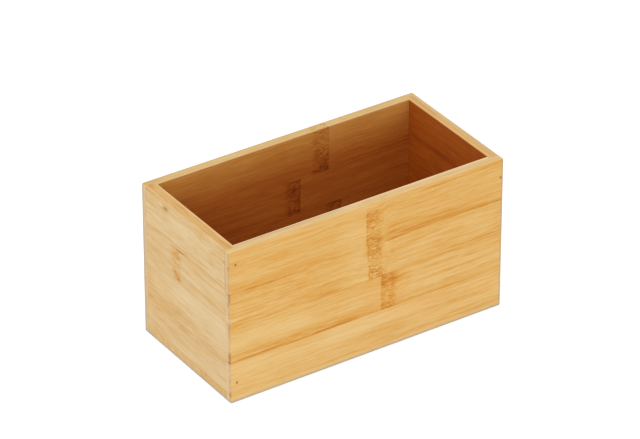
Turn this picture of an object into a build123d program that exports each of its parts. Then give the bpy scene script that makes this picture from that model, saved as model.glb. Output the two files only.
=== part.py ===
"""Bamboo storage box: an open-topped box of edge-glued bamboo strips, lapped and pinned at its corners."""
import os

from build123d import *

# Overall size in millimetres. The origin is under the middle of the box, on the table.
box_length = 150.0  # along X, over the two end panels
box_depth = 74.0  # along Y, over the front and back panels
box_height = 80.0  # along Z, from the table to the rim

# Thicknesses of the boards
wall = 5.6  # front, back and end panels
base_thickness = 5.0

# The front and back panels are rebated along their ends and foot, and lap over the ends and the base
rebate_depth = 2.0

# Sandpaper easing, done on the glued box, so it runs on across the joints
outer_easing = 0.7
inner_rim_easing = 0.4

# Heights of the glue lines in each panel, from the table
front_glue_lines = (21.2, 40.1, 58.5)
back_glue_lines = (19.4, 38.6, 57.0)
left_glue_lines = (20.4, 42.2, 60.0)
right_glue_lines = (23.1, 41.5, 61.4)

# Glue lines of the base boards, from the middle of the box towards the back
base_glue_lines = (-11.4, 10.8)

# The narrowest strip that is worth gluing on
least_strip = 4.0

# Headless brads that pin the lapped ends into the end panels
brad_diameter = 1.2
brad_length = 15.0
brad_point = 1.6  # length of the tapered point
brad_tip_diameter = 0.3
brad_sink = 0.4  # the brad stops this far below the face
brad_clearance = 0.02  # round the brad, all the way down

# The low and high brads of the corners: how far in from the end of the box, and how far from the foot or the rim
front_left_low = (3.4, 10.4)
front_left_high = (3.3, 6.9)
front_right_high = (1.6, 9.7)
back_left_low = (2.6, 10.9)
back_left_high = (3.1, 8.1)
back_right_low = (2.9, 9.6)
back_right_high = (2.2, 7.6)

# Sizes that follow from the ones above
lap = wall - rebate_depth
inner_length = box_length - 2 * wall
inner_depth = box_depth - 2 * wall
rebated_depth = box_depth - 2 * lap

FRONT, BACK = -1, 1
LEFT, RIGHT = -1, 1


def finish(piece, name):
    """Label a finished piece and write it to its own file."""
    piece.label = name
    export_step(piece, f"parts/{name}.step")
    print(f"{name}: {piece.volume:.1f} mm3")


def spans(low, high, glue_lines):
    """Pairs of lower and upper edge of the strips that fill a board between two edges."""
    lines = [line for line in glue_lines if low + least_strip < line < high - least_strip]
    edges = [low, *lines, high]
    return list(zip(edges[:-1], edges[1:]))


# The outside and inside of the glued and sanded box, which every piece is trimmed to
with BuildPart() as sanded_box:
    with BuildSketch(Plane.XY):
        Rectangle(box_length, box_depth)
    extrude(amount=box_height)
    fillet(sanded_box.edges(), outer_easing)
    with BuildSketch(Plane.XY.offset(base_thickness)):
        Rectangle(inner_length, inner_depth)
    extrude(amount=box_height - base_thickness, mode=Mode.SUBTRACT)
    rim = sanded_box.faces().filter_by(Plane.XY).sort_by(Axis.Z)[-1]
    fillet(rim.inner_wires()[0].edges(), inner_rim_easing)


def low_brad(side, end, place):
    """Centre of a brad near the foot, on the outer face."""
    return (end * (box_length / 2 - place[0]), side * box_depth / 2, place[1])


def high_brad(side, end, place):
    """Centre of a brad near the rim, on the outer face."""
    return (end * (box_length / 2 - place[0]), side * box_depth / 2, box_height - place[1])


def brads(side, places, gap, from_face):
    """Brads driven in from the front or back face: a gap makes their holes, which start at the face itself."""
    radius = brad_diameter / 2 + gap
    shank = brad_length - brad_point
    with BuildPart() as group:
        for place in places:
            inward = Plane(origin=place, x_dir=(1, 0, 0), z_dir=(0, -side, 0))
            with BuildSketch(inward.offset(0 if from_face else brad_sink)):
                Circle(radius)
            extrude(amount=shank + (brad_sink if from_face else 0))
            with BuildSketch(inward.offset(brad_sink + shank)):
                Circle(radius)
            with BuildSketch(inward.offset(brad_sink + brad_length + gap)):
                Circle(brad_tip_diameter / 2 + gap)
            loft()
    return group.part


# The front right corner shows only its high brad
corners = {
    "front_left_brads": (FRONT, [low_brad(FRONT, LEFT, front_left_low), high_brad(FRONT, LEFT, front_left_high)]),
    "front_right_brad": (FRONT, [high_brad(FRONT, RIGHT, front_right_high)]),
    "back_left_brads": (BACK, [low_brad(BACK, LEFT, back_left_low), high_brad(BACK, LEFT, back_left_high)]),
    "back_right_brads": (BACK, [low_brad(BACK, RIGHT, back_right_low), high_brad(BACK, RIGHT, back_right_high)]),
}
holes = [brads(side, places, brad_clearance, True) for side, places in corners.values()]


def long_strip(side, low, high):
    """One strip of the front or back panel between two heights."""
    with BuildPart() as strip:
        # The outer layer runs over the ends of the box and down to its foot
        with BuildSketch(Plane.XY.offset(low)):
            with Locations((0, side * (box_depth - lap) / 2)):
                Rectangle(box_length, lap)
        extrude(amount=high - low)
        # The inner layer stops at the end panels and on the base
        inner_low = max(low, base_thickness)
        if inner_low < high:
            with BuildSketch(Plane.XY.offset(inner_low)):
                with Locations((0, side * (rebated_depth - rebate_depth) / 2)):
                    Rectangle(inner_length, rebate_depth)
            extrude(amount=high - inner_low)
        add(sanded_box.part, mode=Mode.INTERSECT)
        for hole in holes:
            add(hole, mode=Mode.SUBTRACT)
    return strip.part


def end_strip(end, low, high):
    """One strip of the left or right end panel between two heights."""
    with BuildPart() as strip:
        with BuildSketch(Plane.XY.offset(low)):
            with Locations((end * (box_length - wall) / 2, 0)):
                Rectangle(wall, rebated_depth)
        extrude(amount=high - low)
        add(sanded_box.part, mode=Mode.INTERSECT)
        for hole in holes:
            add(hole, mode=Mode.SUBTRACT)
    return strip.part


def base_board(near, far):
    """One board of the base between two distances from the middle of the box."""
    with BuildPart() as board:
        with BuildSketch(Plane.XY):
            with Locations((0, (near + far) / 2)):
                Rectangle(box_length, far - near)
        extrude(amount=base_thickness)
        add(sanded_box.part, mode=Mode.INTERSECT)
    return board.part


os.makedirs("parts", exist_ok=True)

# The front and back panels, strip by strip from the foot up
for number, (low, high) in enumerate(spans(0, box_height, front_glue_lines), start=1):
    finish(long_strip(FRONT, low, high), f"front_strip_{number}")
for number, (low, high) in enumerate(spans(0, box_height, back_glue_lines), start=1):
    finish(long_strip(BACK, low, high), f"back_strip_{number}")

# The end panels stand on the base
for number, (low, high) in enumerate(spans(base_thickness, box_height, left_glue_lines), start=1):
    finish(end_strip(LEFT, low, high), f"left_end_strip_{number}")
for number, (low, high) in enumerate(spans(base_thickness, box_height, right_glue_lines), start=1):
    finish(end_strip(RIGHT, low, high), f"right_end_strip_{number}")

# The base boards lie in the rebates, and their ends show under the end panels
half_base = rebated_depth / 2
for number, (near, far) in enumerate(spans(-half_base, half_base, base_glue_lines), start=1):
    finish(base_board(near, far), f"base_board_{number}")

# The brads of each corner
for name, (side, places) in corners.items():
    finish(brads(side, places, 0, False), name)
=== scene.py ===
"""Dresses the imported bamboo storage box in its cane, glue lines and brads, and lights it for its picture."""

import logging
import math
from dataclasses import dataclass, replace
from enum import Enum

import bmesh
import bpy
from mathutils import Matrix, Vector


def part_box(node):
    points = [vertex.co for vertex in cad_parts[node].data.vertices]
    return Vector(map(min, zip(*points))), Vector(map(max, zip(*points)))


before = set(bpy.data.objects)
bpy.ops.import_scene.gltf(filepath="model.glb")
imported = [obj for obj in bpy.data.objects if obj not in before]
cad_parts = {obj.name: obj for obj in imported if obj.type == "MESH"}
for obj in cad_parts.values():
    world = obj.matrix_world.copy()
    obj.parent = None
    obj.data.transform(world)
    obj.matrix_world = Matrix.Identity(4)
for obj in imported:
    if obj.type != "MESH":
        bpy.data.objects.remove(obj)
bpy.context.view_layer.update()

LOG = logging.getLogger("bamboo_box")

MM = 0.001  # metres in a millimetre
X, Y, Z = 0, 1, 2  # numbers of the axes

Colour = tuple[int, int, int]  # as a paint chart gives it, 0 to 255
Triple = tuple[float, float, float]
Pair = tuple[float, float]  # where a mask is 0 and where it is 1
Socket = bpy.types.NodeSocket


# Lines of the box that the finishes follow, in millimetres from its middle and from the table
HALF_LENGTH, HALF_DEPTH = 75.0, 37.0
LAP_LINE = 33.4  # where a long panel's lapped ends meet the end panels
END_LINE = 69.4  # where its inner layer meets them
BASE_TOP = 5.0


def linear(colour: Colour) -> tuple[float, float, float, float]:
    """Turn a paint chart's colour into the renderer's linear light.

    Args:
        colour: red, green and blue from 0 to 255.

    Returns:
        The linear colour with an alpha of 1.
    """
    parts = [part / 255 for part in colour]
    return (*[p / 12.92 if p <= 0.04045 else ((p + 0.055) / 1.055) ** 2.4 for p in parts], 1.0)


class Wire:
    """A number that a shader works out. Used in an expression, it adds the Math nodes."""

    def __init__(self, sheet: "Sheet", socket: Socket) -> None:
        """Hold the socket that the number leaves by."""
        self.sheet = sheet
        self.socket = socket

    def __add__(self, other: "Wire | float") -> "Wire":
        """Add."""
        return self.sheet.math("ADD", self, other)

    def __radd__(self, other: float) -> "Wire":
        """Add, with the number first."""
        return self.sheet.math("ADD", other, self)

    def __sub__(self, other: "Wire | float") -> "Wire":
        """Subtract."""
        return self.sheet.math("SUBTRACT", self, other)

    def __rsub__(self, other: float) -> "Wire":
        """Subtract from a number."""
        return self.sheet.math("SUBTRACT", other, self)

    def __mul__(self, other: "Wire | float") -> "Wire":
        """Multiply."""
        return self.sheet.math("MULTIPLY", self, other)

    def __rmul__(self, other: float) -> "Wire":
        """Multiply, with the number first."""
        return self.sheet.math("MULTIPLY", other, self)

    def __neg__(self) -> "Wire":
        """Change the sign."""
        return self.sheet.math("MULTIPLY", self, -1.0)

    def __abs__(self) -> "Wire":
        """Drop the sign."""
        return self.sheet.math("ABSOLUTE", self)

    def bell(self, width: float) -> "Wire":
        """Give 1 where the number is 0, falling away smoothly on both sides.

        Args:
            width: how far from 0 the bell has fallen to about a third.

        Returns:
            The bell.
        """
        scaled = self * (1 / width)
        return self.sheet.math("EXPONENT", -(scaled * scaled))

    def step(self, low: float, high: float) -> "Wire":
        """Rise smoothly from 0 at low to 1 at high, or fall where high is the lower of the two.

        Args:
            low: where the step is 0.
            high: where the step is 1.

        Returns:
            The step.
        """
        turned = high < low
        ends = (high, low) if turned else (low, high)
        made = self.sheet.node(
            "MapRange",
            {"interpolation_type": "SMOOTHSTEP"},
            {"Value": self, "From Min": ends[0], "From Max": ends[1],
             "To Min": float(turned), "To Max": float(not turned)},
        )
        return Wire(self.sheet, made.outputs["Result"])

    def window(self, start: float, end: float, soft_start: float, soft_end: float) -> "Wire":
        """Give 1 between two places and 0 outside, with a soft edge at each.

        Args:
            start: where the window opens.
            end: where it closes.
            soft_start: length of the soft edge round the start.
            soft_end: length of the soft edge round the end.

        Returns:
            The window.
        """
        opened = self.step(start - soft_start / 2, start + soft_start / 2)
        return opened * self.step(end + soft_end / 2, end - soft_end / 2)


class Sheet:
    """The nodes of one material."""

    seed_shift: Triple = (3.17, 7.31, 5.53)  # how far one step of the seed moves a pattern along each axis

    def __init__(self, name: str) -> None:
        """Start a material with no nodes."""
        self.material = bpy.data.materials.new(name)
        self.material.use_nodes = True
        self.tree = self.material.node_tree
        self.tree.nodes.clear()

    def node(self, kind: str, settings: dict | None = None, inputs: dict | None = None) -> bpy.types.Node:
        """Add a node, give it its settings and then fill its sockets.

        Args:
            kind: the node's type, without the ShaderNode in front.
            settings: its own settings; "stops" are a colour ramp's places and colours.
            inputs: a value, a Wire or an output socket for each socket, by name or number.

        Returns:
            The node.
        """
        made = self.tree.nodes.new("ShaderNode" + kind)
        for name, value in (settings or {}).items():
            if name == "stops":
                self._set_stops(made.color_ramp, value)
            else:
                setattr(made, name, value)
        for name, value in (inputs or {}).items():
            if isinstance(value, Wire):
                self.tree.links.new(value.socket, made.inputs[name])
            elif isinstance(value, Socket):
                self.tree.links.new(value, made.inputs[name])
            else:
                made.inputs[name].default_value = value
        return made

    @staticmethod
    def _set_stops(ramp: bpy.types.ColorRamp, stops: list[tuple[float, Colour]]) -> None:
        """Give a colour ramp its stops.

        Args:
            ramp: the ramp.
            stops: the place and colour of each stop, in order.
        """
        while len(ramp.elements) < len(stops):
            ramp.elements.new(1.0)
        for element, (place, colour) in zip(ramp.elements, stops):
            element.position = place
            element.color = linear(colour)

    def math(self, operation: str, *values: "Wire | float") -> Wire:
        """Add a Math node.

        Args:
            operation: the node's operation.
            values: its inputs, in order.

        Returns:
            The result.
        """
        made = self.node("Math", {"operation": operation}, dict(enumerate(values)))
        return Wire(self, made.outputs[0])

    def place(self) -> Socket:
        """Give the place on the object, in millimetres."""
        metres = self.node("TexCoord").outputs["Object"]
        return self.node("VectorMath", {"operation": "SCALE"}, {0: metres, "Scale": 1 / MM}).outputs[0]

    def vector(self, x: "Wire | float", y: "Wire | float", z: "Wire | float") -> Socket:
        """Put three numbers together as a vector."""
        return self.node("CombineXYZ", None, {"X": x, "Y": y, "Z": z}).outputs["Vector"]

    def stretched(self, vector: Socket, sizes: Triple, seed: float) -> Socket:
        """Scale a place in millimetres so that one unit is as long as the sizes, and move it by a seed.

        Args:
            vector: the place.
            sizes: length of one unit along each axis.
            seed: any number; another seed gives another piece of the same pattern.

        Returns:
            The scaled place.
        """
        scale = tuple(1 / size for size in sizes)
        shift = tuple(seed * step for step in self.seed_shift)
        made = self.node("VectorMath", {"operation": "MULTIPLY_ADD"}, {0: vector, 1: scale, 2: shift})
        return made.outputs["Vector"]

    def noise(self, vector: Socket, sizes: Triple, seed: float, detail: float = 2.0) -> Wire:
        """Add a cloudy pattern.

        Args:
            vector: the place in millimetres.
            sizes: size of one cloud along each axis.
            seed: which piece of the pattern.
            detail: how many finer layers it has.

        Returns:
            The pattern less its mean, so that it lies round 0.
        """
        place = self.stretched(vector, sizes, seed)
        inputs = {"Vector": place, "Scale": 1.0, "Detail": detail, "Roughness": 0.5}
        made = self.node("TexNoise", None, inputs)
        return Wire(self, made.outputs["Fac"]) - 0.5

    def mixed(self, share: Wire, low: Socket | tuple, high: Socket | tuple, blend: str = "MIX") -> Socket:
        """Mix two colours.

        Args:
            share: how much of the second colour, 0 to 1.
            low: the first colour.
            high: the second colour.
            blend: the Mix node's blend type.

        Returns:
            The mixed colour.
        """
        made = self.node("Mix", {"data_type": "RGBA", "blend_type": blend}, {0: share, 6: low, 7: high})
        return made.outputs[2]

    def surface(self, shader: bpy.types.Node) -> bpy.types.Material:
        """End the material in a shader.

        Args:
            shader: the last node before the output.

        Returns:
            The material.
        """
        output = self.node("OutputMaterial")
        self.tree.links.new(shader.outputs[0], output.inputs["Surface"])
        return self.material


class Lay(Enum):
    """How a board lies: the axis its cane runs along, the one across its face and the one through it."""

    LONG_PANEL = (X, Z, Y)
    END_PANEL = (Y, Z, X)
    BASE = (X, Y, Z)


# The records of the finishes, with their lengths in millimetres
@dataclass(frozen=True)
class Layer:
    """One cloudy layer of a pattern, with its sizes along, across and through the board."""

    sizes: Triple
    weight: float
    shift: float  # added to the strip's seed, so that no two layers are alike
    detail: float = 2.0


@dataclass(frozen=True)
class Streak:
    """A soft band along the cane, darker or paler than the rest."""

    start: float  # along the panel
    end: float
    height: float  # across the panel, where it starts
    width: float
    depth: float  # darker above 0, paler below
    rise: float = 0.0  # how much higher it ends
    bow: float = 0.0  # how far its middle stands above its ends


@dataclass(frozen=True)
class Knuckle:
    """A node of the cane: a band of dark crumpled fibres across a strip."""

    start: float  # along the panel
    end: float
    depth: float = 0.16  # how much darker the whole band is
    wrinkles: float = 0.18  # how much darker its wrinkles are
    halo: float = 12.0  # pale length before it
    crinkle: float = 10.0  # length over which the fibres after it calm down
    dip: float = 1.0  # how far the fibres sink as they pass through it
    low: float = -100.0  # where it fades out across the panel
    high: float = 200.0
    lean: float = 0.0  # how much further along it lies a millimetre lower
    head: float = 0.0  # height at which it starts and ends as given


@dataclass(frozen=True)
class Joint:
    """A plane in which a strip meets its neighbour. Lengths are in millimetres of the box's own axes."""

    axis: int
    at: float
    mirrored: bool = False  # also on the other side of the box
    gate: int | None = None  # it shows only between these two distances from 0 along this axis
    gate_from: float = 0.0
    gate_to: float = 0.0
    depth: float = 0.3


@dataclass(frozen=True)
class Bruise:
    """A dark knock on the near upright corner, between two heights in millimetres."""

    low: float
    high: float
    depth: float


@dataclass(frozen=True)
class EdgeTint:
    """A colour laid on an edge or along a line, and how much of it shows."""

    colour: Colour
    share: float


# Painted shade for the inner edges of the back and right rims, and a grey line for outer edges and corners
PAINTED_EDGE_SHADE, GREY_EDGE_LINE = EdgeTint((140, 76, 20), 0.75), EdgeTint((178, 162, 138), 0.6)


@dataclass(frozen=True)
class RimLine:
    """A fine line along the rim: a painted highlight, a painted shadow line, a grey line, a darker band or a
    stain.
    """

    start: float  # along the panel
    end: float
    inset: float  # from the outer face
    width: float
    edge_tint: EdgeTint


@dataclass(frozen=True)
class Stain:
    """A patch of the outer face under a warmer tint."""

    start: float  # along the panel
    end: float
    low: float  # across it
    high: float
    tint: Colour
    soft: float = 8.0  # length over which it fades in and out


@dataclass(frozen=True)
class Strip:
    """The look of one strip or board."""

    seed: float
    tone: float = 0.0  # darker above 0
    lap_line: float = 0.3  # how dark the joint of the lapped corner is on this strip
    grain: float = 1.0  # how strong its fibres are
    streaks: tuple[Streak, ...] = ()
    knuckles: tuple[Knuckle, ...] = ()
    bruises: tuple[Bruise, ...] = ()
    rim_lines: tuple[RimLine, ...] = ()
    stains: tuple[Stain, ...] = ()


@dataclass(frozen=True)
class Shades:
    """Colours of cane from its palest to its darkest, on one kind of surface."""

    colours: tuple[Colour, ...]
    places: tuple[float, ...] = (0.0, 0.3, 0.5, 0.7, 0.86, 1.0)

    def stops(self) -> list[tuple[float, Colour]]:
        """Give the stops of a colour ramp."""
        return list(zip(self.places, self.colours))


@dataclass(frozen=True)
class Crumple:
    """How the fibres crumple at every knuckle."""

    turmoil: Layer = Layer((4.5, 2.6, 5.0), 2.4, 41.0, 1.0)  # how the cane round it strays up and down
    reach: float = 3.0  # how much wider than the knuckle that is
    ragged: Layer = Layer((3.0, 1.3, 2.0), 2.6, 53.0)  # how unevenly it ends
    ragged_start: float = 0.4  # share of that at its start
    start_edge: Pair = (-0.5, 0.5)
    end_edge: Pair = (1.8, -1.8)
    fade: float = 2.0  # soft edge where it stops short of the strip's width
    ring_inset: float = 0.4  # the dark line at its start
    ring_width: float = 0.6
    ring_share: float = 0.6  # of the band's own depth
    blobs: Layer = Layer((4.6, 4.2, 3.0), 1.0, 61.0, 1.0)  # where it is darker and more creased
    blob_edge: Pair = (-0.2, 0.2)
    blob_depth: float = 0.03
    folds: Layer = Layer((2.5, 1.1, 1.2), 1.0, 57.0, 1.0)  # it has a crease where this is 0
    crease_width: float = 0.05  # in the folds' own measure, as is the next pair
    crest: Pair = (0.08, 0.2)
    crest_share: float = 0.7  # how pale the crests between the creases are
    threads: Layer = Layer((2.8, 0.55, 1.2), 0.95, 59.0, 1.0)  # they take the place of the straight fibres
    calm: Triple = (0.25, 0.3, 0.2)  # share of the folds and threads after it, of the threads before it
    halo_depth: float = 0.035  # how much paler the cane before it is


@dataclass(frozen=True)
class Wear:
    """The box's eased and knocked edges, with the painted shade, grey lines and painted contact shadow laid
    along them.
    """

    patchy: Layer = Layer((7.0, 7.0, 7.0), 1.6, 77.0)
    eased: Pair = (0.985, 0.88)  # largest part of the normal on an eased edge
    level: Pair = (0.1, 0.3)  # upward part of the normal on the rim
    turned: Pair = (0.05, 0.3)  # outward or inward part of it there
    upright: Pair = (0.5, 0.2)  # upward part, either way, on an upright edge
    corner: Pair = (3.4, 2.0)  # distances from both its faces, added up, at the near corner
    # painted shade on the near upright corner's eased edge
    corner_painted_shade: EdgeTint = EdgeTint((206, 160, 108), 0.5)
    grey_line_from_x: Pair = (1.8, 0.6)  # distance from an end face, in the grey lines of the other upright corners
    grey_line_from_y: Pair = (3.2, 0.8)
    grey_line: EdgeTint = GREY_EDGE_LINE
    near_sides: Pair = (0.0, 0.3)  # part of the normal towards the near corner, where the grey lines and the foot's painted shadow are strongest
    towards: Pair = (-0.55, -0.83)  # the way there, along X and Y
    far_side_share: float = 0.2  # of the grey lines and the foot's painted shadow, on the sides away from it
    # painted contact shadow along the foot
    foot_height: Pair = (2.1, 0.7)
    foot_side: Pair = (0.5, 0.1)  # upward part of the normal at the foot
    foot_below: Pair = (0.97, 0.8)  # either way, so that the underside has none
    foot_shadow: Colour = (180, 171, 158)
    foot_shadow_share: float = 0.28
    foot_shadow_near: float = 0.45  # more of it on the sides towards the near corner
    foot_left: float = 0.25  # and more on the left, less on the right
    shade_inset: float = 0.7  # the left face is darkest this far from the front face
    shade_reach: float = 2.2
    shade_depth: float = 0.25
    low_depth: float = 0.1  # on top of that near the foot
    low_heights: Pair = (48.0, 30.0)
    shade_facing: Pair = (-0.4, -0.9)  # part of the normal along X on the left face
    bruise_from_x: Pair = (0.8, 0.1)  # distance from the left face, in a bruise
    bruise_from_y: Pair = (1.2, 0.2)


@dataclass(frozen=True)
class Cane:
    """The finish of sanded bamboo: its shades on each kind of surface and its patterns, with painted shade
    inside and painted highlights and shade on the rim's edges.
    """

    face: Shades
    rim: Shades
    # the inside's colours: a darker, redder copy of the cane, in painted shade
    inside: Shades
    end_grain: Shades
    grain: tuple[Layer, ...]
    clouds: Layer
    rim_lead: float = 0.0  # how far outside the outer face the rim's shade starts to take over
    rim_blend: float = 1.4  # how far inside it the rim's shade has taken over
    inner_edge_highlight_or_shade: EdgeTint = EdgeTint((250, 220, 182), 0.5)  # painted highlight on the rim's inner edge, painted shade where a cane gives a brown one
    outer_edge_shade_or_grey: EdgeTint = EdgeTint((200, 144, 78), 0.3)  # painted shade on the rim's outer edge, a grey line where a cane gives a grey one
    wander: Layer = Layer((46.0, 16.0, 16.0), 2.6, 31.0, 1.0)  # how the cane strays up and down
    ripple: Layer = Layer((15.0, 4.5, 8.0), 0.5, 37.0, 1.0)  # the same on a smaller scale, in streaks too
    streak_fade: float = 16.0  # longest soft end of a streak
    bundle_gap: float = 0.72  # between vascular bundles
    bundle_length: float = 46.0
    bundle_edge: Pair = (0.46, 0.16)  # distance from a bundle's middle, in gaps
    bundle_tone: float = 0.05  # how much darker and rougher a bundle is
    bundle_sink: float = 0.35  # how deep it lies, in units of the relief
    end_calm: float = 0.6  # how much of the fibres an end hides
    end_dots: float = 0.04  # how much darker still a bundle is there
    joint_width: float = 0.2  # of a glue line on each side of it
    joint_patches: Layer = Layer((11.0, 11.0, 11.0), 1.4, 71.0, 1.0)
    roughness: float = 0.56
    fibre_roughness: float = 0.3  # how much rougher a dark fibre is
    fibre_height: float = 1.6  # how high it stands, in units of the relief
    relief: float = 0.00004  # metres
    refraction: float = 1.46
    crumple: Crumple = Crumple()
    wear: Wear = Wear()


LONG_LAYERS = (
    Layer((80.0, 3.6, 3.6), 0.34, 0.0),
    Layer((36.0, 1.6, 1.6), 0.42, 7.0),
    Layer((24.0, 0.75, 0.75), 0.5, 11.0),
    Layer((7.0, 0.42, 0.42), 0.4, 13.0, 1.0),
    Layer((1.7, 0.5, 0.5), 0.14, 19.0, 1.0),
)
END_LAYERS = (
    Layer((60.0, 4.2, 4.2), 0.26, 0.0),
    Layer((38.0, 1.9, 1.9), 0.3, 7.0),
    Layer((20.0, 0.95, 0.95), 0.44, 11.0),
    Layer((7.0, 0.5, 0.5), 0.36, 13.0, 1.0),
    Layer((1.5, 0.5, 0.5), 0.14, 19.0, 1.0),
)
LONG_CLOUDS, END_CLOUDS = Layer((24.0, 7.0, 14.0), 0.26, 23.0), Layer((14.0, 7.0, 14.0), 0.32, 23.0)

FRONT_FACE = Shades(
    ((236, 201, 139), (231, 190, 119), (226, 178, 99), (220, 160, 68), (210, 143, 42), (195, 125, 28))
)
END_FACE = Shades(
    ((231, 206, 164), (226, 198, 150), (220, 188, 136), (214, 173, 108), (204, 155, 82), (176, 122, 56))
)
PALE_RIM = Shades(
    ((225, 199, 152), (220, 192, 141), (214, 183, 129), (207, 170, 109), (197, 151, 85), (170, 118, 60))
)
TAN_RIM = Shades(
    ((220, 183, 122), (215, 175, 108), (209, 164, 92), (202, 152, 78), (190, 135, 62), (160, 104, 44))
)
BACK_RIM = Shades(
    ((221, 188, 132), (215, 180, 118), (209, 169, 103), (201, 156, 87), (189, 140, 68), (160, 110, 48))
)
# Painted shade inside the box: darker, redder copies of the cane's colours. The second is for the deepest
# parts and for the right end's inside
INSIDE_PAINTED_SHADE = Shades(
    ((220, 165, 88), (213, 152, 72), (204, 138, 58), (193, 123, 43), (178, 105, 31), (150, 82, 20))
)
DEEP_PAINTED_SHADE = Shades(
    ((194, 112, 30), (184, 99, 20), (172, 86, 12), (158, 72, 8), (138, 57, 5), (104, 40, 4))
)
END_GRAIN = Shades(
    ((228, 202, 158), (224, 196, 150), (219, 189, 141), (211, 176, 124), (200, 158, 104), (164, 118, 70))
)
BASE_GRAIN = Shades(
    ((230, 198, 148), (226, 190, 134), (220, 180, 116), (213, 167, 96), (196, 142, 74), (156, 104, 50))
)

FRONT_CANE = Cane(FRONT_FACE, PALE_RIM, INSIDE_PAINTED_SHADE, END_GRAIN, LONG_LAYERS, LONG_CLOUDS, 2.0, 3.6)
BACK_CANE = Cane(
    FRONT_FACE, BACK_RIM, INSIDE_PAINTED_SHADE, END_GRAIN, LONG_LAYERS, LONG_CLOUDS, 0.0, 1.4, PAINTED_EDGE_SHADE, GREY_EDGE_LINE
)
LEFT_CANE = Cane(END_FACE, TAN_RIM, INSIDE_PAINTED_SHADE, END_GRAIN, END_LAYERS, END_CLOUDS)
RIGHT_CANE = Cane(
    END_FACE, TAN_RIM, DEEP_PAINTED_SHADE, END_GRAIN, END_LAYERS, END_CLOUDS, 0.0, 2.8, PAINTED_EDGE_SHADE, GREY_EDGE_LINE
)
BASE_CANE = Cane(FRONT_FACE, TAN_RIM, INSIDE_PAINTED_SHADE, BASE_GRAIN, LONG_LAYERS, LONG_CLOUDS)

PAINTED_SHADE_HEIGHTS = (79.0, 60.0)  # heights between which the painted shade on the inner walls grows darker and redder
WALL_PAINTED_SHADE, FLOOR_PAINTED_SHADE = 0.8, 0.4


@dataclass(frozen=True)
class Place:
    """Where a strip lies and which way it faces."""

    lay: Lay
    origin: float  # of the length along the panel, in millimetres of the box's own axis
    direction: float  # 1 or -1, the way that the length runs
    outward: float  # 1 or -1, the way that the outer face looks along the axis through the board
    joints: tuple[Joint, ...] = ()


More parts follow.
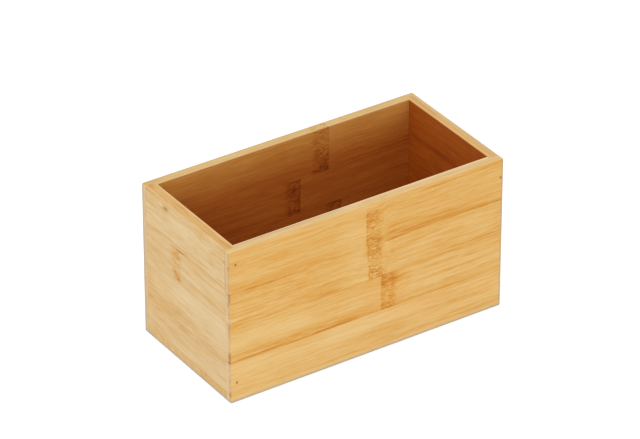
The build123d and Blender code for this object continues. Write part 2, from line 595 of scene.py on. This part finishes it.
class BambooPainter:
    """Works out the material of one strip."""

    facing_up: Pair = (0.45, 0.9)  # parts of the normal, as are the next two
    facing_in: Pair = (0.4, 0.9)
    facing_end: Pair = (0.5, 0.9)

    def __init__(self, name: str, cane: Cane, strip: Strip, place: Place) -> None:
        """Start the material, and find the strip's directions and the run of its fibres.

        Args:
            name: the strip's node name.
            cane: the finish.
            strip: what is particular to this strip.
            place: where it lies.
        """
        self.cane, self.strip, self.place = cane, strip, place
        self.sheet = Sheet(name + "_bamboo")
        self.axes = self._parts(self.sheet.place())
        self.normal = self._parts(self.sheet.node("NewGeometry").outputs["Normal"])
        fibre, across, through = place.lay.value
        self.along = (self.axes[fibre] - place.origin) * place.direction
        self.up = self.axes[across]
        self.deep = self.axes[through]
        self.straight = self.sheet.vector(self.along, self.up, self.deep)
        self.level = self.up + self._layer(cane.ripple)
        self.grain = self.sheet.vector(self.along, self.level + self._wander(), self.deep)
        coarse, middle, fine, thread, fleck = [self._layer(layer, self.grain) for layer in cane.grain]
        self.broad = (coarse + middle) * strip.grain
        self.fibre = (fine + thread + fleck) * strip.grain
        self.bundles = self._bundles()

    def _parts(self, vector: Socket) -> list[Wire]:
        """Take a vector apart."""
        made = self.sheet.node("SeparateXYZ", None, {"Vector": vector})
        return [Wire(self.sheet, socket) for socket in made.outputs]

    def _layer(self, layer: Layer, where: Socket | None = None) -> Wire:
        """Add a cloudy layer in its own weight, on the unbent board or on a place that is given."""
        seed = self.strip.seed + layer.shift
        return self.sheet.noise(where or self.straight, layer.sizes, seed, layer.detail) * layer.weight

    def _wander(self) -> Wire:
        """Let the cane stray across the face, more so near a knuckle.

        Returns:
            How far it strays, in millimetres.
        """
        wander = self._layer(self.cane.wander)
        for knuckle in self.strip.knuckles:
            middle = (knuckle.start + knuckle.end) / 2
            near = (self.along - middle).bell(knuckle.end - knuckle.start + self.cane.crumple.reach)
            dip = self.along.window(knuckle.start - 6.0, knuckle.end + 3.0, 16.0, 9.0)
            wander = wander + near * self._layer(self.cane.crumple.turmoil) + dip * knuckle.dip
        return wander

    def _bundles(self) -> Wire:
        """Find the vascular bundles, rods along the cane: lines on a face and dots on an end.

        Returns:
            1 in the middle of a bundle, 0 between them.
        """
        gap = self.cane.bundle_gap
        place = self.sheet.stretched(self.grain, (self.cane.bundle_length, gap, gap), self.strip.seed + 3.0)
        cells = self.sheet.node("TexVoronoi", {"feature": "F1"}, {"Vector": place, "Scale": 1.0})
        return Wire(self.sheet, cells.outputs["Distance"]).step(*self.cane.bundle_edge)

    def paint(self) -> bpy.types.Material:
        """Build the whole material.

        Returns:
            The finished material.
        """
        sheet, cane, strip = self.sheet, self.cane, self.strip
        darkness = 0.5 + strip.tone + self.broad + self.fibre + self.bundles * cane.bundle_tone
        darkness = darkness + self._layer(cane.clouds) + self._corner_shade()
        marks = [self._streak(streak) for streak in strip.streaks]
        marks += [self._knuckle(knuckle) for knuckle in strip.knuckles]
        marks += [self._bruise(bruise) for bruise in strip.bruises]
        darkness = sum(marks, darkness) + self._joints()
        rough = cane.roughness + self.fibre * cane.fibre_roughness + self.bundles * cane.bundle_tone
        height = self.fibre * cane.fibre_height - self.bundles * cane.bundle_sink
        bump = sheet.node("Bump", None, {"Strength": 0.5, "Distance": cane.relief, "Height": height})
        finish = {"Base Color": self._colour(darkness), "Roughness": rough, "Normal": bump.outputs["Normal"]}
        return sheet.surface(sheet.node("BsdfPrincipled", None, finish | {"IOR": cane.refraction}))

    def _corner_shade(self) -> Wire:
        """Darken the left face, and it alone, towards the near upright corner.

        Returns:
            What this adds to the darkness.
        """
        wear = self.cane.wear
        near = abs(self.axes[Y] + HALF_DEPTH - wear.shade_inset).step(wear.shade_reach, 0.0)
        depth = self.axes[Z].step(*wear.low_heights) * wear.low_depth + wear.shade_depth
        return near * self.normal[X].step(*wear.shade_facing) * depth

    def _streak(self, streak: Streak) -> Wire:
        """Draw a streak, in which the fibres still show.

        Args:
            streak: where it lies and how strong it is.

        Returns:
            What it adds to the darkness.
        """
        height = streak.height
        if streak.rise or streak.bow:
            run = (self.along - streak.start) * (1 / (streak.end - streak.start))
            height = height + streak.rise * run + 4 * streak.bow * run * (1 - run)
        soft = min(self.cane.streak_fade, (streak.end - streak.start) / 2)
        band = (self.level - height).bell(streak.width)
        band = band * self.along.window(streak.start, streak.end, soft, soft)
        return band * (self.fibre + self.broad * 0.5 + 1.0) * streak.depth

    def _knuckle(self, knuckle: Knuckle) -> Wire:
        """Draw a knuckle: a pale halo, a band of creased brown cane and fibres that calm down after it.

        Args:
            knuckle: where it lies and how strong it is.

        Returns:
            What it adds to the darkness.
        """
        style = self.cane.crumple
        upright = self.along + (self.up - knuckle.head) * knuckle.lean
        tall = self.up.window(knuckle.low, knuckle.high, style.fade, style.fade)
        ragged = self._layer(style.ragged)
        from_start = upright - knuckle.start + ragged * style.ragged_start
        from_end = upright - knuckle.end + ragged
        inside = from_start.step(*style.start_edge) * from_end.step(*style.end_edge) * tall
        ring = (from_start - style.ring_inset).bell(style.ring_width) * tall
        blobs = self._layer(style.blobs).step(*style.blob_edge)
        folds = self._layer(style.folds)
        creases = folds.bell(style.crease_width) * (blobs * 0.5 + 0.8)
        creases = creases - abs(folds).step(*style.crest) * style.crest_share
        threads = self._layer(style.threads) - self.fibre * 0.8 - self.broad * 0.6
        band = inside * (creases * knuckle.wrinkles + threads + blobs * style.blob_depth + knuckle.depth)
        after = upright.window(knuckle.end, knuckle.end + knuckle.crinkle / 2, 3.0, knuckle.crinkle)
        before = upright.window(knuckle.start - knuckle.halo, knuckle.start, 9.0, 1.6)
        folds_after, threads_after, threads_before = style.calm
        beside = after * (folds * folds_after + threads * threads_after)
        beside = beside + before * (threads * threads_before - style.halo_depth)
        return band + ring * (knuckle.depth * style.ring_share) + beside

    def _bruise(self, bruise: Bruise) -> Wire:
        """Draw a knock on the near upright corner.

        Args:
            bruise: its heights and how strong it is.

        Returns:
            What it adds to the darkness.
        """
        from_x, from_y = abs(self.axes[X] + HALF_LENGTH), abs(self.axes[Y] + HALF_DEPTH)
        near = from_x.step(*self.cane.wear.bruise_from_x) * from_y.step(*self.cane.wear.bruise_from_y)
        return near * self.axes[Z].window(bruise.low, bruise.high, 3.0, 3.0) * bruise.depth

    def _joints(self) -> Wire:
        """Draw the dark hairlines where this strip meets its neighbours, stronger in some places.

        Returns:
            What they add to the darkness.
        """
        lines = 0.0
        for joint in self.place.joints:
            axis = abs(self.axes[joint.axis]) if joint.mirrored else self.axes[joint.axis]
            line = (axis - joint.at).bell(self.cane.joint_width) * joint.depth
            if joint.gate is not None:
                middle, reach = (joint.gate_from + joint.gate_to) / 2, (joint.gate_to - joint.gate_from) / 2
                line = line * abs(abs(self.axes[joint.gate]) - middle).step(reach + 0.1, reach)
            lines = self.sheet.math("MAXIMUM", lines, line)
        patchy = self._layer(self.cane.joint_patches) + 0.7
        return lines * patchy * self.normal[Z].step(0.95, 0.4)

    def _colour(self, darkness: Wire) -> Socket:
        """Turn darkness into colour on each kind of surface.

        Args:
            darkness: 0 at the palest shade and 1 at the darkest.

        Returns:
            The colour.
        """
        sheet, cane, lay = self.sheet, self.cane, self.place.lay
        fibre, _, through = lay.value
        inward = self.normal[through] * -self.place.outward
        face = self._ramp(darkness, cane.face)
        for stain in self.strip.stains:
            patch = self.along.window(stain.start, stain.end, stain.soft, stain.soft)
            patch = patch * self.up.window(stain.low, stain.high, stain.soft / 2, stain.soft / 2)
            face = sheet.mixed(patch, face, linear(stain.tint), "MULTIPLY")
        # Painted shade inside the box, darker and redder from the top of the walls down
        deep = self.axes[Z].step(*PAINTED_SHADE_HEIGHTS) * (FLOOR_PAINTED_SHADE if lay is Lay.BASE else WALL_PAINTED_SHADE)
        shaded_inner = sheet.mixed(deep, self._ramp(darkness, cane.inside), self._ramp(darkness, DEEP_PAINTED_SHADE))
        colour = sheet.mixed(inward.step(*self.facing_in), face, shaded_inner)
        if lay is not Lay.BASE:
            from_edge = self._inset().step(-cane.rim_lead, cane.rim_blend)
            rim = sheet.mixed(from_edge, face, self._ramp(darkness, cane.rim))
            colour = sheet.mixed(self.normal[Z].step(*self.facing_up), colour, rim)
        ends = abs(self.normal[fibre]).step(*self.facing_end)
        dotted = darkness - self.fibre * cane.end_calm + self.bundles * cane.end_dots
        colour = sheet.mixed(ends, colour, self._ramp(dotted, cane.end_grain))
        return self._paint_corners_and_foot(self._paint_rim_edges(colour, inward))

    def _inset(self) -> Wire:
        """Give how far a place lies inside the panel's outer face."""
        return (HALF_DEPTH if self.place.lay is Lay.LONG_PANEL else HALF_LENGTH) - abs(self.deep)

    def _paint_rim_edges(self, colour: Socket, inward: Wire) -> Socket:
        """Paint highlights and shade onto the rim's eased edges, and draw its fine lines.

        Args:
            colour: the colour so far.
            inward: the normal's part that looks into the box.

        Returns:
            The colour with these painted in.
        """
        sheet, cane, wear = self.sheet, self.cane, self.cane.wear
        edge = self._eased() * self.normal[Z].step(*wear.level)
        # the inner edge gets a painted highlight, or painted shade on the back and right; the outer edge gets
        # painted shade, or a grey line on the back and right
        for turned, edge_tint in ((inward, cane.inner_edge_highlight_or_shade), (-inward, cane.outer_edge_shade_or_grey)):
            painted_edge_shading = edge * turned.step(*wear.turned)
            colour = sheet.mixed(painted_edge_shading * edge_tint.share, colour, linear(edge_tint.colour))
        for line in self.strip.rim_lines:
            drawn = (self._inset() - line.inset).bell(line.width) * self.normal[Z].step(*self.facing_up)
            drawn = drawn * self.along.window(line.start, line.end, 3.0, 3.0)
            drawn = drawn * (self._layer(wear.patchy) * 0.5 + 0.95)
            colour = sheet.mixed(drawn * line.edge_tint.share, colour, linear(line.edge_tint.colour))
        return colour

    def _paint_corners_and_foot(self, colour: Socket) -> Socket:
        """Paint shade on the near upright corner's eased edge, grey lines in the other upright corners and a
        contact shadow along the foot.

        Args:
            colour: the colour so far.

        Returns:
            The colour with these painted in.
        """
        sheet, wear = self.sheet, self.cane.wear
        slope = abs(self.normal[Z])
        upright = slope.step(*wear.upright)
        near = (abs(self.axes[X] + HALF_LENGTH) + abs(self.axes[Y] + HALF_DEPTH)).step(*wear.corner)
        # painted shade on the near upright corner's eased edge
        painted_edge_shading = self._eased() * upright * near * (self._layer(wear.patchy) + 0.7) * wear.corner_painted_shade.share
        colour = sheet.mixed(painted_edge_shading, colour, linear(wear.corner_painted_shade.colour))
        # grey lines in the other upright corners
        from_x, from_y = abs(abs(self.axes[X]) - HALF_LENGTH), abs(abs(self.axes[Y]) - HALF_DEPTH)
        near_sides = (self.normal[X] * wear.towards[X] + self.normal[Y] * wear.towards[Y]).step(*wear.near_sides)
        near_sides = near_sides * (1 - wear.far_side_share) + wear.far_side_share
        grey_lines = from_x.step(*wear.grey_line_from_x) * from_y.step(*wear.grey_line_from_y) * upright * (1 - near)
        colour = sheet.mixed(grey_lines * near_sides * wear.grey_line.share, colour, linear(wear.grey_line.colour))
        # painted contact shadow along the foot
        foot = self.axes[Z].step(*wear.foot_height) * self.normal[Z].step(*wear.foot_side)
        foot = foot * slope.step(*wear.foot_below)
        foot_shade = foot * (near_sides * wear.foot_shadow_near + wear.foot_shadow_share - self.normal[X] * wear.foot_left)
        return sheet.mixed(foot_shade, colour, linear(wear.foot_shadow))

    def _eased(self) -> Wire:
        """Give 1 on the eased edges."""
        x, y, z = [abs(part) for part in self.normal]
        return self.sheet.math("MAXIMUM", self.sheet.math("MAXIMUM", x, y), z).step(*self.cane.wear.eased)

    def _ramp(self, darkness: Wire, shades: Shades) -> Socket:
        """Read a colour from the shades."""
        return self.sheet.node("ValToRGB", {"stops": shades.stops()}, {"Fac": darkness}).outputs["Color"]


@dataclass
class BoardSet:
    """Strips or boards side by side: a panel or the base."""

    prefix: str
    lay: Lay
    side: int  # -1 or 1, the way that its outer face looks
    cane: Cane
    strips: tuple[Strip, ...]
    edge_joints: tuple[Joint, ...]  # with the rest of the box

    def build(self) -> list[str]:
        """Dress every strip of the set. Its length runs from left to right, as seen from outside.

        Returns:
            The names of the nodes that were dressed.
        """
        across = self.lay.value[1]
        names = [f"{self.prefix}_{number}" for number in range(1, len(self.strips) + 1)]
        half, direction = (HALF_DEPTH, self.side) if self.lay is Lay.END_PANEL else (HALF_LENGTH, -self.side)
        for name, strip in zip(names, self.strips):
            low, high = [corner[across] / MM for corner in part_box(name)]
            # The lapped corners' joints, which lie across Y, are as dark as this strip has them
            joints = [replace(joint, depth=strip.lap_line) for joint in self.edge_joints if joint.axis == Y]
            joints += [joint for joint in self.edge_joints if joint.axis != Y]
            if name != names[0]:
                joints.append(Joint(across, low))
            if name != names[-1]:
                joints.append(Joint(across, high))
            place = Place(self.lay, -direction * half, direction, self.side, tuple(joints))
            put_on(name, BambooPainter(name, self.cane, strip, place).paint())
        return names


def put_on(name: str, material: bpy.types.Material) -> None:
    """Give every slot of a node the material.

    Args:
        name: the node's name.
        material: its new material.
    """
    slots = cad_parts[name].data.materials
    for number in range(len(slots)):
        slots[number] = material


@dataclass
class Brads:
    """The steel brads of the four corners."""

    names: tuple[str, ...] = ("front_left_brads", "front_right_brad", "back_left_brads", "back_right_brads")
    steel: Colour = (194, 148, 78)
    rust: Colour = (162, 114, 46)
    spots: Layer = Layer((0.35, 0.35, 0.35), 1.0, 5.0, 3.0)
    spot_edge: Pair = (-0.06, 0.14)
    shine: float = 0.3  # how metallic the bare steel is, and how much smoother than the rust
    smoothness: float = 0.6  # roughness of the bare steel
    relief: float = 0.00003  # metres

    def build(self) -> list[str]:
        """Dress the brads in dull steel with glue and rust on it.

        Returns:
            The names of the nodes that were dressed.
        """
        sheet = Sheet("dull_brad_steel")
        spots = sheet.noise(sheet.place(), self.spots.sizes, self.spots.shift, self.spots.detail)
        rusty = spots.step(*self.spot_edge)
        colour = sheet.mixed(rusty, linear(self.steel), linear(self.rust))
        bump = sheet.node("Bump", None, {"Strength": 0.4, "Distance": self.relief, "Height": spots})
        finish = {"Base Color": colour, "Normal": bump.outputs["Normal"]}
        finish["Metallic"] = self.shine - rusty * self.shine
        finish["Roughness"] = self.smoothness + rusty * self.shine
        material = sheet.surface(sheet.node("BsdfPrincipled", None, finish))
        for name in self.names:
            put_on(name, material)
        return list(self.names)


@dataclass
class Studio:
    """The white table, the soft light and the camera. Lengths are in metres."""

    azimuth: float = -33.695  # degrees round from looking along +Y
    elevation: float = 31.483
    distance: float = 1.9646
    target: Triple = (-0.001911, 0.0, 0.054313)
    lens: float = 240.209  # millimetres, as is the sensor
    sensor: float = 36.0
    clip: Pair = (0.05, 50.0)
    table_size: float = 6.0
    table_squares: int = 8  # along each side
    table_white: Colour = (234, 234, 234)
    table_glow: float = 0.42  # seen by the camera alone
    room_light: float = 0.97
    lamp_place: Triple = (-1.1, -1.0, 1.5)
    lamp_size: float = 1.2
    lamp_power: float = 8.0  # watts

    def build(self) -> None:
        """Set up everything round the box."""
        self._table()
        self._world()
        self._lamp()
        self._camera()
        bpy.context.scene.view_settings.view_transform = "Standard"

    def _table(self) -> None:
        """Make a white table that stays white in the picture but keeps the box's shadow."""
        mesh = bpy.data.meshes.new("table")
        build = bmesh.new()
        squares = self.table_squares
        bmesh.ops.create_grid(build, x_segments=squares, y_segments=squares, size=self.table_size / 2)
        build.to_mesh(mesh)
        build.free()
        table = bpy.data.objects.new("table", mesh)
        bpy.context.scene.collection.objects.link(table)
        sheet = Sheet("white_table")
        diffuse = sheet.node("BsdfDiffuse", None, {"Color": linear(self.table_white)})
        lift = Wire(sheet, sheet.node("LightPath").outputs["Is Camera Ray"]) * self.table_glow
        glow = sheet.node("Emission", None, {"Color": (1, 1, 1, 1), "Strength": lift})
        both = sheet.node("AddShader", None, {0: diffuse.outputs[0], 1: glow.outputs[0]})
        mesh.materials.append(sheet.surface(both))

    def _world(self) -> None:
        """Light the box evenly from all round."""
        world = bpy.data.worlds.new("white_room")
        world.use_nodes = True
        background = world.node_tree.nodes["Background"]
        background.inputs["Color"].default_value = (1, 1, 1, 1)
        background.inputs["Strength"].default_value = self.room_light
        bpy.context.scene.world = world

    def _lamp(self) -> None:
        """Hang a broad soft lamp over the left of the box."""
        data = bpy.data.lights.new("key_softbox", "AREA")
        data.shape, data.size, data.energy = "SQUARE", self.lamp_size, self.lamp_power
        lamp = bpy.data.objects.new("key_softbox", data)
        lamp.location = self.lamp_place
        aim = Vector(self.target) - Vector(self.lamp_place)
        lamp.rotation_euler = aim.to_track_quat("-Z", "Y").to_euler()
        bpy.context.scene.collection.objects.link(lamp)

    def _camera(self) -> None:
        """Stand the camera where the picture was taken from."""
        around, above = math.radians(self.azimuth), math.radians(self.elevation)
        back = Vector(
            (math.sin(around) * math.cos(above), -math.cos(around) * math.cos(above), math.sin(above))
        )
        data = bpy.data.cameras.new("picture")
        data.lens, data.sensor_width = self.lens, self.sensor
        data.clip_start, data.clip_end = self.clip
        camera = bpy.data.objects.new("picture", data)
        camera.location = Vector(self.target) + back * self.distance
        camera.rotation_mode = "QUATERNION"
        camera.rotation_quaternion = (-back).to_track_quat("-Z", "Y")
        bpy.context.scene.collection.objects.link(camera)
        bpy.context.scene.camera = camera


# Each strip from the foot up, or each board from the front back, with its streaks from the lowest up
FRONT_STRIPS = (
    Strip(1.0, -0.15, 0.2, 1.15, streaks=(
        # a paler band just above the foot: painted light that lifts the table's shade there
        Streak(-10, 165, 1.9, 1.3, -0.1),
        Streak(40, 165, 3.4, 1.0, 0.09),
        Streak(-10, 165, 4.6, 1.2, 0.1),
        Streak(118, 165, 5.8, 1.0, 0.1),
        Streak(-10, 26, 6.8, 0.9, -0.06),
        Streak(60, 112, 7.3, 1.1, 0.12),
        Streak(66, 150, 11.2, 2.0, 0.09),
        Streak(52, 100, 16.4, 3.4, -0.2),
        Streak(72, 104, 20.0, 0.9, 0.16),
        Streak(118, 165, 20.2, 1.2, 0.14),
    ), bruises=(Bruise(3.4, 5.4, 0.35),), stains=(Stain(88, 170, 11, 30, (255, 250, 243)),)),
    Strip(2.0, -0.03, 0.2, 1.12, streaks=(
        Streak(-10, 34, 21.7, 0.7, 0.18),
        Streak(4, 50, 21.9, 0.6, 0.16),
        Streak(45, 53, 21.9, 0.5, 0.26),
        Streak(60, 84, 21.9, 0.5, 0.16),
        Streak(88, 165, 21.9, 0.8, 0.16),
        Streak(52, 68, 22.2, 0.8, 0.26),
        Streak(62, 80, 23.6, 1.2, -0.08),
        Streak(18, 74, 23.7, 2.0, 0.24),
        Streak(34, 54, 24.6, 1.2, 0.1),
        Streak(104, 165, 24.9, 1.0, 0.09),
        Streak(-10, 24, 25.4, 2.0, 0.08),
        Streak(74, 82, 26.0, 3.0, 0.07),
        Streak(90, 165, 28.0, 1.6, -0.1),
        Streak(62, 84, 30.0, 5.0, -0.05),
        Streak(104, 140, 30.1, 0.9, 0.22),
        Streak(-10, 44, 31.5, 3.8, -0.16),
        Streak(100, 150, 32.4, 1.4, -0.1),
        Streak(12, 56, 32.9, 1.6, 0.06),
        Streak(40, 66, 33.0, 3.0, 0.08),
        Streak(84, 99, 34.9, 1.8, 0.18),
        Streak(116, 155, 36.0, 0.8, 0.12),
        Streak(86, 98, 36.6, 0.7, 0.18),
        Streak(81, 93, 37.6, 3.2, 0.14),
        Streak(96, 160, 37.6, 0.8, -0.08),
        Streak(56, 80, 38.4, 1.8, 0.08),
        Streak(44, 62, 39.2, 1.3, 0.16),
        Streak(96, 160, 39.4, 0.8, 0.16),
    ), knuckles=(
        Knuckle(82.0, 90.0, 0.16, 0.13, lean=0.01, head=40.0),
    ), bruises=(Bruise(22.0, 27.0, 0.3),), stains=(Stain(70, 94, 10, 44, (255, 248, 236), 12.0),)),
    Strip(3.0, -0.02, 0.2, 1.3, streaks=(
        Streak(26, 62, 41.2, 0.7, 0.2),
        Streak(118, 165, 41.6, 0.9, 0.1),
        Streak(-8, 30, 41.8, 1.2, 0.18),
        Streak(26, 66, 42.0, 0.7, 0.1, bow=0.4),
        Streak(84, 114, 42.6, 1.2, -0.08),
        Streak(72, 80, 43.4, 1.0, 0.08),
        Streak(-8, 6, 43.9, 1.6, -0.15),
        Streak(84, 99, 45.4, 1.2, 0.1),
        Streak(72, 83, 47.6, 1.8, -0.12),
        Streak(34, 56, 49.8, 1.2, 0.1),
        Streak(12, 28, 50.0, 1.2, -0.14),
        Streak(96, 144, 50.4, 1.8, -0.06),
        Streak(0, 38, 52.3, 0.9, 0.18),
        Streak(83, 99, 54.3, 1.8, -0.14),
        Streak(12, 28, 54.6, 1.0, -0.1),
        Streak(72, 83, 55.6, 2.4, 0.18),
        Streak(-10, 44, 57.4, 1.3, 0.15),
        Streak(10, 48, 57.8, 0.6, 0.1),
        Streak(84, 165, 58.1, 0.7, 0.18),
    ), knuckles=(
        Knuckle(74.2, 81.6, 0.12, 0.28, lean=0.05, head=58.0),
        Knuckle(79.5, 85.0, 0.0, 0.2, halo=2.0, crinkle=5.0, dip=0.5, high=45.5),
    ), bruises=(Bruise(54.0, 60.0, 0.42),)),
    Strip(4.0, 0.02, 0.9, streaks=(
        Streak(84, 175, 58.9, 0.9, 0.22),
        Streak(6, 60, 59.4, 1.0, 0.05),
        Streak(96, 118, 60.0, 1.0, 0.1),
        Streak(-10, 60, 60.9, 1.2, 0.12),
        Streak(82, 126, 61.6, 2.8, 0.18),
        Streak(24, 46, 62.6, 1.4, -0.06),
        Streak(118, 146, 63.6, 1.4, -0.05),
        Streak(73, 84, 65.0, 1.4, -0.16),
        Streak(58, 74, 68.0, 7.0, -0.06),
        Streak(130, 150, 68.9, 1.6, 0.1),
        Streak(86, 132, 69.0, 6.0, 0.06),
        Streak(122, 148, 69.6, 2.0, -0.08),
        Streak(24, 78, 70.6, 1.9, 0.14),
        Streak(-10, 30, 71.4, 0.8, 0.08),
        Streak(24, 54, 74.4, 1.4, -0.08),
        Streak(104, 160, 76.8, 1.2, 0.1),
        Streak(104, 165, 78.3, 1.2, 0.18),
    ), knuckles=(Knuckle(73.8, 82.2, 0.18, 0.16, high=75.8),), rim_lines=(
        # a painted highlight along the inner edge, a painted shadow line beside it and a second painted
        # highlight further right
        RimLine(4, 66, 5.3, 0.3, EdgeTint((255, 228, 196), 0.85)),
        RimLine(8, 64, 4.4, 0.35, EdgeTint((186, 138, 80), 0.5)),
        RimLine(68, 146, 4.9, 0.45, EdgeTint((250, 206, 160), 0.6)),
    )),
)
BACK_STRIPS = (
    Strip(5.0, -0.02, streaks=(Streak(20, 90, 9.0, 1.4, 0.12), Streak(70, 150, 17.0, 1.0, 0.12))),
    Strip(6.0, 0.03, knuckles=(Knuckle(44.0, 52.5),), streaks=(
        Streak(-5, 70, 21.5, 1.0, 0.16),
        Streak(90, 150, 30.0, 1.6, 0.1),
    )),
    Strip(7.0, knuckles=(Knuckle(67.0, 75.0),), streaks=(
        Streak(60, 150, 40.6, 1.0, 0.14),
        Streak(10, 80, 52.0, 1.6, 0.1),
    )),
    Strip(8.0, -0.04, knuckles=(Knuckle(51.0, 60.0),), streaks=(
        Streak(0, 90, 58.6, 0.9, 0.18),
        Streak(60, 130, 72.0, 1.4, 0.1),
    ), rim_lines=(RimLine(-2, 152, 0.9, 0.6, EdgeTint((180, 168, 140), 0.5)),)),
)
LEFT_STRIPS = (
    Strip(9.0, 0.0, 0.2, 1.12, stains=(Stain(-20, 24, 12, 30, (255, 250, 242), 16.0),), streaks=(
        Streak(-8, 9, 6.8, 1.4, -0.1),
        Streak(20, 80, 7.2, 2.0, -0.16),
        Streak(-2, 28, 8.8, 1.4, 0.09),
        Streak(-8, 36, 13.6, 1.6, 0.08),
        Streak(8, 34, 16.0, 1.2, -0.06),
        Streak(22, 62, 17.5, 0.7, 0.24),
        Streak(26, 70, 19.0, 0.5, 0.12),
        Streak(-8, 74, 20.0, 2.4, 0.06),
    )),
    Strip(10.0, -0.02, 0.2, 1.1, stains=(Stain(-20, 26, 16, 37, (255, 249, 237), 16.0),), streaks=(
        Streak(-8, 80, 21.4, 1.4, 0.14),
        Streak(1, 9, 22.4, 1.0, 0.26),
        Streak(-8, 44, 23.6, 2.2, 0.12),
        Streak(18, 50, 26.0, 1.6, 0.08),
        Streak(22, 44, 26.4, 2.2, 0.08),
        Streak(-8, 10, 30.0, 3.4, 0.12),
        Streak(24, 90, 36.0, 5.0, -0.14),
        Streak(-8, 34, 38.6, 1.1, 0.1),
    )),
    Strip(11.0, 0.05, 0.2, streaks=(
        Streak(28, 32.5, 43.8, 0.9, 0.24),
        Streak(26, 32, 46.6, 1.0, 0.24, -1.2),
        Streak(50, 66, 46.6, 1.4, 0.1),
        Streak(12, 32, 48.8, 0.9, 0.14),
        Streak(34, 54, 48.9, 1.4, -0.18),
        Streak(6, 30, 50.2, 0.8, 0.1),
        Streak(28, 40, 51.4, 1.2, 0.08),
        Streak(25, 29.5, 51.6, 0.7, 0.12),
        Streak(40, 62, 52.8, 1.4, -0.06),
        Streak(22, 33, 55.2, 3.0, 0.14),
        Streak(28, 33, 55.6, 0.8, 0.16),
        Streak(-8, 22, 58.4, 1.3, 0.12),
        Streak(24, 74, 59.4, 0.6, 0.15),
        Streak(25, 35, 59.8, 0.8, 0.2),
    ), knuckles=(Knuckle(25.5, 31.5, -0.02, 0.07, halo=6.0, crinkle=4.0, dip=0.6),), stains=(
        Stain(24.5, 31.5, 54.5, 58.5, (254, 240, 208), 3.0),
        Stain(27.0, 32.5, 43.5, 47.5, (254, 240, 208), 3.0),
    )),
    Strip(12.0, 0.0, 0.6, 1.6, streaks=(
        Streak(14, 38, 61.5, 0.8, 0.16),
        Streak(-4, 16, 64.0, 2.0, -0.08),
        Streak(56, 78, 72.8, 1.0, 0.14),
        Streak(30, 58, 74.2, 2.2, -0.1),
        Streak(4, 22, 74.4, 1.9, 0.34),
        Streak(19, 34, 75.6, 1.3, 0.18),
        Streak(18.4, 22.4, 76.5, 0.8, 0.5),
        Streak(3, 11, 78.6, 0.8, 0.18),
        Streak(-8, 78, 79.0, 0.8, 0.12),
    ), rim_lines=(
        # a painted highlight along the inner edge, and a brown stain near the far corner
        RimLine(4, 70, 5.0, 0.4, EdgeTint((240, 206, 158), 0.4)),
        RimLine(-2, 7, 2.4, 1.3, EdgeTint((196, 136, 72), 0.65)),
    )),
)
RIGHT_STRIPS = (
    Strip(13.0, streaks=(Streak(10, 60, 12.0, 1.4, 0.12),)),
    Strip(14.0, 0.02, streaks=(Streak(-5, 50, 25.0, 1.0, 0.16),), knuckles=(Knuckle(50.0, 57.5),)),
    Strip(15.0, -0.03, streaks=(Streak(20, 80, 43.4, 0.9, 0.14), Streak(0, 40, 55.0, 1.6, 0.1))),
    Strip(16.0, 0.01, streaks=(Streak(0, 70, 62.8, 0.9, 0.16),), rim_lines=(
        # a grey line along the outer edge, a painted highlight near the inner edge and a darker band towards
        # the far end
        RimLine(-2, 76, 1.3, 0.6, EdgeTint((186, 168, 138), 0.5)),
        RimLine(-2, 76, 4.4, 0.45, EdgeTint((238, 182, 112), 0.45)),
        RimLine(50, 76, 3.2, 1.2, EdgeTint((186, 134, 78), 0.4)),
    )),
)
BASE_STRIPS = (
    Strip(17.0, 0.05, 0.6, streaks=(Streak(10, 90, -24.0, 1.6, 0.12),), knuckles=(Knuckle(38.0, 46.0),)),
    Strip(18.0, -0.05, 0.6, streaks=(Streak(30, 140, 2.0, 1.6, 0.1),), knuckles=(Knuckle(104.0, 112.0),)),
    Strip(19.0, -0.03, 0.6, streaks=(Streak(0, 80, 22.0, 1.6, 0.12),), knuckles=(Knuckle(64.0, 72.0),)),
)


def long_panel_joints(side: int) -> tuple[Joint, ...]:
    """Give the joints of the front or back panel with the rest of the box.

    Args:
        side: -1 for the front panel, 1 for the back panel.

    Returns:
        The joints.
    """
    return (
        Joint(Y, side * LAP_LINE, gate=X, gate_from=END_LINE, gate_to=HALF_LENGTH + 1),
        Joint(Y, side * LAP_LINE, gate=Z, gate_from=-1.0, gate_to=BASE_TOP),
        Joint(X, END_LINE, mirrored=True, gate=Y, gate_from=0.0, gate_to=LAP_LINE),
    )


def main() -> None:
    """Build the box's looks, part by part, then the studio round it."""
    logging.basicConfig(level=logging.INFO, format="%(message)s")
    lapped = Joint(Y, LAP_LINE, mirrored=True)
    end_joints = (lapped, Joint(Z, BASE_TOP))
    base_joints = (lapped, Joint(Z, BASE_TOP, gate=X, gate_from=END_LINE, gate_to=HALF_LENGTH + 1))
    sets = (
        BoardSet("front_strip", Lay.LONG_PANEL, -1, FRONT_CANE, FRONT_STRIPS, long_panel_joints(-1)),
        BoardSet("back_strip", Lay.LONG_PANEL, 1, BACK_CANE, BACK_STRIPS, long_panel_joints(1)),
        BoardSet("left_end_strip", Lay.END_PANEL, -1, LEFT_CANE, LEFT_STRIPS, end_joints),
        BoardSet("right_end_strip", Lay.END_PANEL, 1, RIGHT_CANE, RIGHT_STRIPS, end_joints),
        BoardSet("base_board", Lay.BASE, -1, BASE_CANE, BASE_STRIPS, base_joints),
    )
    for board_set in sets:
        for name in board_set.build():
            LOG.info("dressed %s", name)
    for name in Brads().build():
        LOG.info("dressed %s", name)
    Studio().build()


if __name__ == "__main__":
    main()
